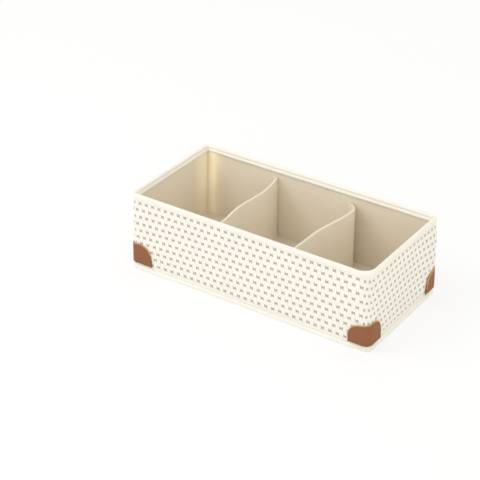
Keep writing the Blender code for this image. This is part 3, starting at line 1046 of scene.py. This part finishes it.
def make_rim_tape(sizes):
    """Tape over the rim: rounded top, a crease inside where it is pinched, and a puckered hem below."""
    stitch_count = round(OUTLINE.around / sizes.stitch)
    distances = OUTLINE.even_stations(stitch_count * 3)
    outside = -GAP - TAPE
    inside = LINING_INSET + GAP + TAPE
    round_out = 1.5 * MM
    round_in = 2.5 * MM

    # Section: inset, height and how strongly the stitches draw it in
    section = [(outside + 0.05 * MM, HEIGHT - 5.8 * MM, 0), (outside, HEIGHT - 5.2 * MM, 0)]
    section.append((outside - 0.02 * MM, HEIGHT - 3.6 * MM, 0))
    rounds = ((outside + round_out, round_out, 180), (inside - round_in, round_in, 90))
    for centre, radius, first_angle in rounds:
        for turn in range(0, 91, 18):
            angle = math.radians(first_angle - turn)
            section.append((centre + radius * math.cos(angle), HEIGHT - radius * (1 - math.sin(angle)), 0))
    hem = (
        (0.04, 3.3, 0.1), (-0.06, 3.95, 0.4), (-0.34, 4.35, 0.7), (-0.20, 4.55, 0.5), (0.36, 4.75, 0.25),
        (0.74, 5.2, 0.1), (0.92, 6.1, 0.1), (0.88, 7.1, 0.4), (0.55, 8.0, 0.9), (0.02, 8.5, 1.0),
        (-0.10, 8.65, 1.0),
    )
    section += [(inside + inward * MM, HEIGHT - down * MM, draw) for inward, down, draw in hem]

    def place(distance, inset, height, draw):
        spot, facing = OUTLINE.at(distance, inset, corner_radii(inset, height))
        drawn = sizes.pucker * draw * stitch_pull(distance, stitch_count)
        uneven = ripple((*spot, height), scale=60.0, seed=5.5) * 0.12 * MM
        sway = ripple((*spot, 0.0), scale=14.0, seed=1.7) * 0.15 * MM
        spot = spot + facing * (drawn + uneven * (0.4 + draw) * 0.5)
        return leant(spot, height + sway * (0.5 if height > HEIGHT - 2 * MM else 1.0))

    maps = {"cloth": ring_map(distances, section_lengths(section))}
    tape = loft("rim_tape", ring_points(section, distances, place), maps, True)
    tape = solid_cloth(tape, TAPE * RIM_TAPE_SKIN)
    hem_line = HEIGHT - 8.5 * MM
    front_line = HEIGHT - 4.6 * MM
    inner = stitches_round(stitch_count, inside + 0.12 * MM, hem_line, (-0.8, -0.25), INSIDE_STITCH)
    outer = stitches_round(stitch_count, outside, front_line, (1.0, 0.0), OUTSIDE_STITCH)
    inner = sewn_line("rim_stitches_inside", inner, sizes.sewing_thread)
    outer = sewn_line("rim_stitches_outside", outer, sizes.sewing_thread * 0.9)
    return tape, inner, outer


def make_foot_tape(sizes):
    """Tape round the foot: two soft lips with a row of stitches in the groove between them."""
    stitch_count = round(OUTLINE.around / sizes.stitch)
    distances = OUTLINE.even_stations(stitch_count * 3)
    off_cover = 0.12
    groove = 5.4
    lips = (1, 8.5)

    # Section in millimetres, from under the base out and up: inset, height and how strongly drawn in
    section = (
        (11.0, 0.0, 0), (8.0, 0.0, 0), (5.0, 0.0, 0), (2.6, 0.0, 0), (1.5, 0.02, 0), (0.85, 0.25, 0),
        (0.45, 0.75, 0), (0.22, 1.5, 0), (0.1, 2.5, 0.1), (0.15, 3.4, 0.3), (0.42, 4.3, 0.6),
        (0.78, 5.0, 1.0), (0.85, groove, 1.0), (0.78, 5.8, 1.0), (0.4, 6.5, 0.6), (0.14, 7.2, 0.3),
        (0.12, 7.9, 0.1), (0.35, 8.7, 0), (0.85, 9.3, 0), (1.02, 9.8, 0), (1.05, 11.4, 0),
    )

    def place(distance, inset, height, draw):
        set_in = (inset + off_cover) * MM
        spot, facing = OUTLINE.at(distance, set_in, (CORNER - min(set_in, CORNER / 2),) * 4)
        drawn = sizes.pucker * 0.5 * draw * stitch_pull(distance, stitch_count)
        free = 1 if lips[0] < height < lips[1] else 0
        uneven = ripple((*spot, height * MM), scale=45.0, seed=9.2) * 0.14 * MM * free
        spot = spot - facing * (drawn - uneven)
        return leant(spot, height * MM * (1 + seam_lift(distance) / FOOT_TOP), True)

    lengths = section_lengths([(inset * MM, height * MM) for inset, height, draw in section])
    maps = {"cloth": ring_map(distances, lengths)}
    tape = loft("foot_tape", ring_points(section, distances, place), maps, True)
    tape = solid_cloth(tape, TAPE * FOOT_TAPE_SKIN)
    lifted = groove * MM / FOOT_TOP
    seam = stitches_round(stitch_count, 0.9 * MM, groove * MM, (1.0, 0.0), FOOT_STITCH, lifted)
    return tape, sewn_line("foot_stitches", seam, sizes.sewing_thread)


def smooth_through(points, steps):
    """Points along a smooth curve through the given ones, running straight in Y at both ends."""
    spots = [Vector((x, y, 0)) for x, y in points]
    slopes = []
    for number in range(len(spots)):
        before = spots[max(number - 1, 0)]
        after = spots[min(number + 1, len(spots) - 1)]
        slope = (after - before) / 2
        if number in (0, len(spots) - 1):
            slope = Vector((0, slope.y, 0))
        slopes.append(slope)
    curve = [spots[0]]
    for number in range(len(spots) - 1):
        start, end = spots[number], spots[number + 1]
        handles = start + slopes[number] / 3, end - slopes[number + 1] / 3
        curve += interpolate_bezier(start, *handles, end, steps + 1)[1:]
    return [Vector((spot.x, spot.y)) for spot in curve]


def tab_length(turn):
    """How far a divider's end runs on along the wall after a turn: a wide hook hardly does."""
    return GAP if turn > TAB else TAB


def divider_plan(station, bow, back_turn):
    """A divider's line from the front tab's end to the back tab's end, with its half width at each point."""
    tab_line = DEPTH / 2 - LINING_INSET - GAP - SLEEVE_CLOTH
    front = -tab_line + TURN
    back = tab_line - back_turn
    places = [(station + share * COMPARTMENT, front + run * (back - front)) for run, share in bow]
    run = smooth_through(places, 7)
    full = SLEEVE_CLOTH + GAP + DIVIDER_CARD / 2
    flat = SLEEVE_CLOTH + 0.05 * MM
    turn_steps = 10
    tab_steps = 4
    ends = []
    for corner, turn, side_y in ((run[0], TURN, -1), (run[-1], back_turn, 1)):
        centre = Vector((corner.x + TURN_SIDE * turn, corner.y))
        is_hook = turn > TAB
        end = []
        for step in range(1, turn_steps + 1):
            angle = math.radians((HOOK_END if is_hook else 90) * step / turn_steps)
            offset = Vector((-TURN_SIDE * math.cos(angle), side_y * math.sin(angle))) * turn
            if is_hook:
                inward = HOOK_FLATTENED * math.sin(2 * angle) * math.sqrt(0.5)
                offset += Vector((TURN_SIDE * inward, -side_y * inward))
            end.append((centre + offset, full + (flat - full) * step / turn_steps))
        turned = end[-1][0]
        for step in range(1, tab_steps + 1):
            end.append((turned + Vector((TURN_SIDE * tab_length(turn) * step / tab_steps, 0)), flat))
        ends.append(end)
    return ends[0][::-1] + [(point, full) for point in run] + ends[1]


def make_sleeve(side_name, sizes):
    """Cloth folded over a divider's card, with a round fold on top and flat tabs sewn to the walls."""
    station, bow, back_turn, sag, seed = DIVIDERS[side_name]
    plan = divider_plan(station, bow, back_turn)
    bottom = FLOOR + 0.25 * MM
    walked = [0.0]
    for (first, half), (second, other) in zip(plan, plan[1:]):
        walked.append(walked[-1] + (second - first).length)
    tab = tab_length(back_turn)
    sag_reach = 1.45 * back_turn
    sag_start = tab + sag_reach
    held_ends = (4 * MM, 22 * MM)
    half_width = 1.2 * MM
    levels = 12

    # Section: side of the card, share of the height and share of the round fold on top
    section = [(1.0, level / levels, 0.0) for level in range(levels + 1)]
    for turn in range(20, 161, 20):
        section.append((math.cos(math.radians(turn)), 1.0, math.sin(math.radians(turn))))
    section += [(-1.0, level / levels, 0.0) for level in range(levels, -1, -1)]

    def place(number, side, level, crown):
        point, half = plan[number]
        to_end = walked[-1] - walked[number]
        forward = (plan[min(number + 1, len(plan) - 1)][0] - plan[max(number - 1, 0)][0]).normalized()
        across = Vector((forward.y, -forward.x))
        top = DIVIDER_TOP - half - sag * smooth_share(to_end, sag_start, tab)
        dip = ripple((walked[number], 0, 0), scale=30.0, seed=seed) * 0.35 * MM
        height = bottom + (top - bottom + min(dip, 0)) * level + half * crown
        held = smooth_share(walked[number], *held_ends) * smooth_share(to_end, *held_ends)
        wave = ripple((*point, height * 0.7 + side), scale=26.0, seed=seed + 2)
        puff = max(wave, 0) * sizes.slack * held
        puff *= math.sin(math.pi * min(level, 0.97))
        return (*(point + across * side * (half + puff * abs(side))), height)

    profile = [(side * half_width, level * (DIVIDER_TOP - bottom)) for side, level, crown in section]
    run_up = section_lengths(profile)

    def cloth_place(row, column):
        return walked[column], run_up[row]

    rings = ring_points(section, range(len(plan)), place)
    sleeve = loft(f"sleeve_{side_name}", rings, {"cloth": cloth_place, "painted_glow_map": no_painted_glow}, False)
    sleeve = solid_cloth(sleeve, SLEEVE_CLOTH)
    seam = sewn_line(f"sleeve_stitches_{side_name}", tab_stitches(plan, sizes), sizes.sewing_thread)
    return sleeve, seam


def tab_stitches(plan, sizes):
    """Upright rows of stitches that sew a divider's two tabs to the walls."""
    lowest = FLOOR + 3 * MM
    highest = DIVIDER_TOP - 4 * MM
    found = []

    # The third point from each end is in the middle of its tab
    for (place, half), inward in ((plan[2], 1), (plan[-3], -1)):
        height = lowest
        while height < highest:
            face = Vector((place.x, place.y + inward * half, 0))
            start = face + Vector((0, 0, height))
            end = face + Vector((0, 0, height + sizes.stitch * SEAM_STITCH))
            found.append((start, end, Vector((0, inward, 0))))
            height += sizes.stitch
    return found


def corner_point(side_x, side_y, distance, inset):
    """Plan point and outward direction, a signed distance round a corner from its middle."""
    radius = CORNER - inset
    centre = Vector((LENGTH / 2 - inset - radius, DEPTH / 2 - inset - radius))
    beyond = abs(distance) - CORNER * math.pi / 4
    if beyond <= 0:
        angle = math.pi / 4 - distance / CORNER
        facing = Vector((math.cos(angle), math.sin(angle)))
        point = centre + radius * facing
    elif distance > 0:
        facing = Vector((1, 0))
        point = centre + Vector((radius, -beyond))
    else:
        facing = Vector((0, 1))
        point = centre + Vector((-beyond, radius))
    flip = Vector((side_x, side_y))
    return point * flip, facing * flip


def guard_top(share, lopside, fold):
    """Height of a guard's upper edge over its foot, at a share of its half width."""
    rounding = max(1 - abs(share) ** GUARD_ROUNDNESS, 0) ** (1 / GUARD_ROUNDNESS)
    evenness = (1 + lopside * share) * (1 - fold * smooth_share(share, *GUARD_FOLD))
    return GUARD_FOOT + (GUARD_HEIGHT - GUARD_FOOT) * rounding * evenness


def make_guard(place_name, sizes):
    """A leatherette patch folded round its corner, thinner at its rim, with a row of stitches inside it."""
    side_x, side_y, off_middle, lopside, fold, rim_widening, spread = GUARD_PLACES[place_name]
    shift = off_middle * GUARD_WIDTH
    half = GUARD_WIDTH / 2
    columns = sizes.guard_steps
    levels = 12
    rim_steps = 60
    rim_share = 0.55
    rim_bevel = 1.2 * MM
    crown = 0.12 * MM
    crown_reach = (2.2 * MM, 5 * MM)
    rim = []
    for step in range(-rim_steps, rim_steps + 1):
        rim.append(Vector((step / rim_steps * half, guard_top(step / rim_steps, lopside, fold))))
    rim += [Vector((side * half, GUARD_FOOT * step / 4)) for side in (-1, 1) for step in range(4)]
    order = 1 if side_x * side_y > 0 else -1

    def patch_place(level, column):
        """Place on the flat patch, and distance to its rim."""
        share = math.sin(math.pi * (column / columns - 0.5)) * order
        height = guard_top(share, lopside, fold) * level / levels
        reach = share * half * (1 + spread * smooth_share(height, GUARD_FOOT, 0))
        to_rim = min((Vector((reach, height)) - spot).length for spot in rim)
        return reach, height, min(to_rim, height + 0.3 * MM)

    def on_box(reach, height, inset):
        """Place and outward direction on the box for a place on the flat patch."""
        point, facing = corner_point(side_x, side_y, shift + reach, inset)
        return point, facing, FOOT_TOP - GUARD_LAP + height

    rings = []
    flats = []
    for level in range(levels + 1):
        flat = [patch_place(level, column) for column in range(columns + 1)]
        ring = []
        for reach, height, to_rim in flat:
            dome = LEATHERETTE * (rim_share + (1 - rim_share) * smooth_share(to_rim, 0, rim_bevel))
            dome += crown * smooth_share(to_rim, *crown_reach)
            point, facing, up = on_box(reach, height, -GAP)
            ring.append(leant(point + facing * dome, up, True))
        flats.append(flat)
        rings.append(ring)

    def flat_place(row, column):
        return flats[row][column][:2]

    def edge_place(row, column):
        return flats[row][column][2] / (1 + rim_widening), flats[row][column][1]

    guard = loft(f"guard_{place_name}", rings, {"cloth": flat_place, "edge": edge_place}, False)
    guard = solid_cloth(guard, LEATHERETTE * GUARD_SKIN, rim_material=1)

    # Inset of the seam from the rim. Towards its two ends it drops less below the rim
    seam_inset = 1.9 * MM
    path_steps = 80
    path = []
    for step in range(2 * path_steps + 1):
        share = -1 + step / path_steps
        drop = seam_inset * (0.55 + 0.45 * (1 - abs(share) ** 6))
        path.append(Vector((share * (half - seam_inset), guard_top(share, lopside, fold) - drop)))
    stitches = []
    travelled = 0.0
    start = None
    for last, spot in zip(path, path[1:]):
        travelled += (spot - last).length
        if start is None:
            start = spot
            begun = travelled
        elif travelled - begun > sizes.guard_stitch * SEAM_STITCH:
            ends = []
            for reach, height in (start, spot):
                point, facing, up = on_box(reach, height, -GAP - LEATHERETTE - 0.02 * MM)
                ends.append(leant(point, up, True))
            stitches.append((*ends, Vector((*facing, 0))))
            start = None
    return guard, sewn_line(f"guard_stitches_{place_name}", stitches, sizes.sewing_thread)


# Operators, one for each group of pieces


def chosen(context):
    """The sizes and colours that the user has chosen."""
    return context.scene.organizer_sizes, context.scene.organizer_colours


class ORGANIZER_OT_cover(bpy.types.Operator):
    """Make the printed outer cloth"""

    bl_idname = "organizer.cover"
    bl_label = "Printed cover"

    def execute(self, context):
        sizes, colours = chosen(context)
        printed = printed_finish(sizes, colours)
        show(make_cover(sizes), printed, ["printed_cover"])
        return {"FINISHED"}


class ORGANIZER_OT_linings(bpy.types.Operator):
    """Make the wall lining, the floor lining and the cloth under the base"""

    bl_idname = "organizer.linings"
    bl_label = "Linings"

    def execute(self, context):
        sizes, colours = chosen(context)
        lined = lining_finish("lining_cloth", sizes, colours)
        plain = WovenFinish("plain_cotton", colours.cover, sizes.cover_thread).material
        show(make_wall_lining(sizes), lined, ["wall_lining"])
        floor = make_base_layer("floor_lining", FLOOR_BOX, True, 4.4, sizes)
        show(floor, lined, ["base_lining"])
        under = make_base_layer("under_cloth", UNDER_BOX, False, 6.1, sizes)
        show(under, plain, ["base_cloth"])
        return {"FINISHED"}


class ORGANIZER_OT_rim_tape(bpy.types.Operator):
    """Make the tape over the rim and its two rows of stitches"""

    bl_idname = "organizer.rim_tape"
    bl_label = "Rim tape"

    def execute(self, context):
        sizes, colours = chosen(context)
        tape, inner, outer = make_rim_tape(sizes)
        thread = thread_finish("rim_thread", colours.thread)
        show(tape, rim_finish(sizes, colours), ["top_binding"])
        show(inner, thread)
        show(outer, thread)
        return {"FINISHED"}


class ORGANIZER_OT_foot_tape(bpy.types.Operator):
    """Make the tape round the foot and its stitches"""

    bl_idname = "organizer.foot_tape"
    bl_label = "Foot tape"

    def execute(self, context):
        sizes, colours = chosen(context)
        tape, seam = make_foot_tape(sizes)
        tone = shade(colours.tape, 0.965)
        cotton = WovenFinish("foot_tape_cotton", tone, sizes.tape_thread, gap_shade=0.92)
        show(tape, cotton.material, ["bottom_binding"])
        show(seam, thread_finish("foot_thread", colours.thread))
        return {"FINISHED"}


class ORGANIZER_OT_dividers(bpy.types.Operator):
    """Make the two dividers' sleeves and sew them to the walls"""

    bl_idname = "organizer.dividers"
    bl_label = "Dividers"

    def execute(self, context):
        sizes, colours = chosen(context)
        lined = lining_finish("divider_cloth", sizes, colours)
        thread = thread_finish("divider_thread", colours.thread)
        for side_name in DIVIDERS:
            node = f"divider_{side_name}_sleeve"
            sleeve, seam = make_sleeve(side_name, sizes)
            show(sleeve, lined, [node])
            show(seam, thread)
        return {"FINISHED"}


class ORGANIZER_OT_guards(bpy.types.Operator):
    """Make the four leatherette corner guards"""

    bl_idname = "organizer.guards"
    bl_label = "Corner guards"

    def execute(self, context):
        sizes, colours = chosen(context)
        face = leatherette_finish(colours)
        cut = cut_edge_finish(colours)
        thread = thread_finish("guard_thread", colours.guard_thread)
        for place_name in GUARD_PLACES:
            node = f"corner_guard_{place_name}"
            guard, seam = make_guard(place_name, sizes)
            show(guard, face, [node])
            guard.data.materials.append(cut)
            show(seam, thread)
        return {"FINISHED"}


class ORGANIZER_OT_cards(bpy.types.Operator):
    """Give the cards in the walls, the base and the dividers their finish"""

    bl_idname = "organizer.cards"
    bl_label = "Cards"

    def execute(self, context):
        finish = card_finish(context.scene.organizer_colours)
        for name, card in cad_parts.items():
            if name.endswith("_board"):
                for slot in card.material_slots:
                    slot.material = finish
        return {"FINISHED"}


class ORGANIZER_OT_stage(bpy.types.Operator):
    """Set up the floor, the lamps, the background and the camera"""

    bl_idname = "organizer.stage"
    bl_label = "Stage"

    def execute(self, context):
        scene = context.scene
        scene.view_settings.view_transform = "Standard"
        make_floor()
        make_lamps(scene)
        make_room(scene)
        make_camera(scene)
        return {"FINISHED"}


def make_floor():
    """A wide white floor that keeps the box's shadow, paler to the camera than its paint is."""
    bpy.ops.mesh.primitive_plane_add(size=30)
    floor = bpy.context.object
    floor.name = "floor"
    floor.location.z = -0.05 * MM
    finish = Finish("white_floor", roughness=0.9)
    finish.surface(Base_Color=(0.93, 0.93, 0.93, 1))
    seen = finish.node("ShaderNodeLightPath", None, None, "Is Camera Ray")
    glow = finish.node("ShaderNodeEmission", None, {"Color": WHITE, "Strength": 1.0})
    lit = Wire(finish.tree, finish.tree.nodes["Principled BSDF"].outputs[0])
    glow_share = 0.72
    blend = finish.node("ShaderNodeMixShader", None, {0: seen * glow_share, 1: lit, 2: glow})
    finish.feed("Material Output", Surface=blend)
    floor.data.materials.append(finish.material)


def make_lamps(scene):
    """Soft lamps from the upper left and the right."""
    for name, (place, size, energy, colour) in LAMPS.items():
        light = bpy.data.lights.new(name, "AREA")
        light.shape = "SQUARE"
        light.size = size
        light.energy = energy
        light.color = colour
        lamp = bpy.data.objects.new(name, light)
        lamp.location = place
        lamp.rotation_euler = (LAMP_AIM - lamp.location).to_track_quat("-Z", "Y").to_euler()
        scene.collection.objects.link(lamp)


def make_room(scene):
    """An even pale room that shows white behind the box."""
    world = bpy.data.worlds.new("white_room")
    world.use_nodes = True
    scene.world = world
    room = Nodes(world.node_tree)
    rays = ("Camera", "Glossy", "Transmission")
    camera, glossy, through = [room.node("ShaderNodeLightPath", None, None, f"Is {ray} Ray") for ray in rays]
    seen = camera.at_least(glossy).at_least(through)
    strength = ROOM_LEVEL + (1 - ROOM_LEVEL) * seen
    room.feed("Background", Color=room.mixed(seen, ROOM_COLOUR, WHITE), Strength=strength)


def make_camera(scene):
    """Camera at the product view's angle."""
    camera = bpy.data.objects.new("camera", bpy.data.cameras.new("camera"))
    camera.data.lens = CAMERA_LENS
    right = Vector(CAMERA_RIGHT)
    up = Vector(CAMERA_UP)
    turn = Matrix((right, up, right.cross(up))).transposed()
    camera.matrix_world = Matrix.Translation(CAMERA_PLACE) @ turn.to_4x4()
    scene.collection.objects.link(camera)
    scene.camera = camera


class ORGANIZER_PT_panel(bpy.types.Panel):
    """Sizes, colours and the steps of making the organizer"""

    bl_idname = "ORGANIZER_PT_panel"
    bl_label = "Drawer organizer"
    bl_space_type = "VIEW_3D"
    bl_region_type = "UI"
    bl_category = "Organizer"

    def draw(self, context):
        for group in (context.scene.organizer_sizes, context.scene.organizer_colours):
            box = self.layout.box()
            for name in group.bl_rna.properties.keys():
                if name not in ("rna_type", "name"):
                    box.prop(group, name)
        for operator in OPERATORS:
            self.layout.operator(operator.bl_idname)


OPERATORS = (
    ORGANIZER_OT_cover,
    ORGANIZER_OT_linings,
    ORGANIZER_OT_rim_tape,
    ORGANIZER_OT_foot_tape,
    ORGANIZER_OT_dividers,
    ORGANIZER_OT_guards,
    ORGANIZER_OT_cards,
    ORGANIZER_OT_stage,
)
CLASSES = (OrganizerSizes, OrganizerColours, *OPERATORS, ORGANIZER_PT_panel)


def register():
    for item in CLASSES:
        bpy.utils.register_class(item)
    bpy.types.Scene.organizer_sizes = PointerProperty(type=OrganizerSizes)
    bpy.types.Scene.organizer_colours = PointerProperty(type=OrganizerColours)


def unregister():
    del bpy.types.Scene.organizer_colours
    del bpy.types.Scene.organizer_sizes
    for item in reversed(CLASSES):
        bpy.utils.unregister_class(item)


def main():
    register()
    for operator in OPERATORS:
        group, step = operator.bl_idname.split(".")
        getattr(getattr(bpy.ops, group), step)()


if __name__ == "__main__":
    main()
